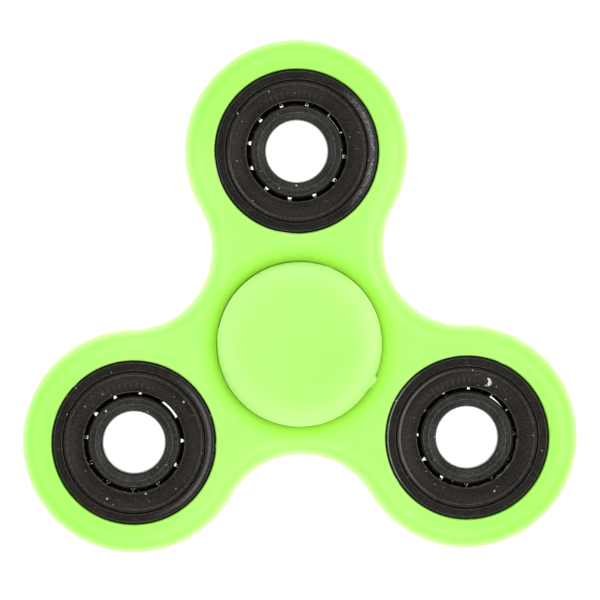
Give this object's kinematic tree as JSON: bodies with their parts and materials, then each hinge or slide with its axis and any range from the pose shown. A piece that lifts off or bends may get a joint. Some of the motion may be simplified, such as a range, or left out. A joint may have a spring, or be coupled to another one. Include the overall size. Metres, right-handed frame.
{
  "type": "fidget spinner",
  "caption": "Tri-lobe finger spinner: a moulded body that turns on its centre bearing between dished finger caps, with open shielded bearings as weights in the lobes.",
  "frame": {"origin": "centre of the centre bearing, on the spin axis at the middle of the spinner's thickness", "axes": "+Z along the spin axis out of the upper finger cap, +Y from the spin axis to the lobe of weight_1, +X to complete a right-handed frame"},
  "size_m": [0.0748, 0.0689, 0.0126],
  "materials": {
    "green_plastic": "smooth injection-moulded lime green",
    "black_steel": "ground and blackened bearing steel",
    "shield_steel": "pressed and blackened sheet steel",
    "ball_steel": "polished bearing ball",
    "nylon": "moulded natural nylon"
  },
  "bodies": {
    "hub": {"upper_finger_cap": "green_plastic", "lower_finger_cap": "green_plastic", "centre_inner_ring": "black_steel"},
    "rotor": {"tri_lobe_body": "green_plastic", "centre_outer_ring": "black_steel", "centre_upper_shield": "shield_steel", "centre_lower_shield": "shield_steel", "weight_1_outer_ring": "black_steel", "weight_1_upper_shield": "shield_steel", "weight_1_lower_shield": "shield_steel", "weight_2_outer_ring": "black_steel", "weight_2_upper_shield": "shield_steel", "weight_2_lower_shield": "shield_steel", "weight_3_outer_ring": "black_steel", "weight_3_upper_shield": "shield_steel", "weight_3_lower_shield": "shield_steel"},
    "centre_ball_set": {"centre_cage": "nylon", "centre_ball_01": "ball_steel", "centre_ball_02": "ball_steel", "centre_ball_03": "ball_steel", "centre_ball_04": "ball_steel", "centre_ball_05": "ball_steel", "centre_ball_06": "ball_steel", "centre_ball_07": "ball_steel"},
    "weight_1_ring": {"weight_1_inner_ring": "black_steel"},
    "weight_1_ball_set": {"weight_1_ball_01": "ball_steel", "weight_1_ball_02": "ball_steel", "weight_1_ball_03": "ball_steel", "weight_1_ball_04": "ball_steel", "weight_1_ball_05": "ball_steel", "weight_1_ball_06": "ball_steel", "weight_1_ball_07": "ball_steel", "weight_1_ball_08": "ball_steel", "weight_1_ball_09": "ball_steel", "weight_1_ball_10": "ball_steel", "weight_1_ball_11": "ball_steel"},
    "weight_2_ring": {"weight_2_inner_ring": "black_steel"},
    "weight_2_ball_set": {"weight_2_ball_01": "ball_steel", "weight_2_ball_02": "ball_steel", "weight_2_ball_03": "ball_steel", "weight_2_ball_04": "ball_steel", "weight_2_ball_05": "ball_steel", "weight_2_ball_06": "ball_steel", "weight_2_ball_07": "ball_steel", "weight_2_ball_08": "ball_steel", "weight_2_ball_09": "ball_steel", "weight_2_ball_10": "ball_steel", "weight_2_ball_11": "ball_steel"},
    "weight_3_ring": {"weight_3_inner_ring": "black_steel"},
    "weight_3_ball_set": {"weight_3_ball_01": "ball_steel", "weight_3_ball_02": "ball_steel", "weight_3_ball_03": "ball_steel", "weight_3_ball_04": "ball_steel", "weight_3_ball_05": "ball_steel", "weight_3_ball_06": "ball_steel", "weight_3_ball_07": "ball_steel", "weight_3_ball_08": "ball_steel", "weight_3_ball_09": "ball_steel", "weight_3_ball_10": "ball_steel", "weight_3_ball_11": "ball_steel"}
  },
  "joints": [
    {"name": "spin", "type": "hinge", "parent": "hub", "child": "rotor", "pos_m": [0, 0, 0], "axis": [0, 0, 1], "continuous": true},
    {"name": "centre_ball_orbit", "type": "hinge", "parent": "hub", "child": "centre_ball_set", "pos_m": [0, 0, 0], "axis": [0, 0, 1], "continuous": true},
    {"name": "weight_1_ring_spin", "type": "hinge", "parent": "rotor", "child": "weight_1_ring", "pos_m": [0, 0.0258, 0], "axis": [0, 0, 1], "continuous": true},
    {"name": "weight_1_ball_orbit", "type": "hinge", "parent": "rotor", "child": "weight_1_ball_set", "pos_m": [0, 0.0258, 0], "axis": [0, 0, 1], "continuous": true},
    {"name": "weight_2_ring_spin", "type": "hinge", "parent": "rotor", "child": "weight_2_ring", "pos_m": [-0.02234, -0.0129, 0], "axis": [0, 0, 1], "continuous": true},
    {"name": "weight_2_ball_orbit", "type": "hinge", "parent": "rotor", "child": "weight_2_ball_set", "pos_m": [-0.02234, -0.0129, 0], "axis": [0, 0, 1], "continuous": true},
    {"name": "weight_3_ring_spin", "type": "hinge", "parent": "rotor", "child": "weight_3_ring", "pos_m": [0.02234, -0.0129, 0], "axis": [0, 0, 1], "continuous": true},
    {"name": "weight_3_ball_orbit", "type": "hinge", "parent": "rotor", "child": "weight_3_ball_set", "pos_m": [0.02234, -0.0129, 0], "axis": [0, 0, 1], "continuous": true}
  ],
  "couplings": [
    {"joint": "centre_ball_orbit", "follows": "spin", "ratio": 0.6323},
    {"joint": "weight_1_ball_orbit", "follows": "weight_1_ring_spin", "ratio": 0.3677},
    {"joint": "weight_2_ball_orbit", "follows": "weight_2_ring_spin", "ratio": 0.3677},
    {"joint": "weight_3_ball_orbit", "follows": "weight_3_ring_spin", "ratio": 0.3677}
  ]
}
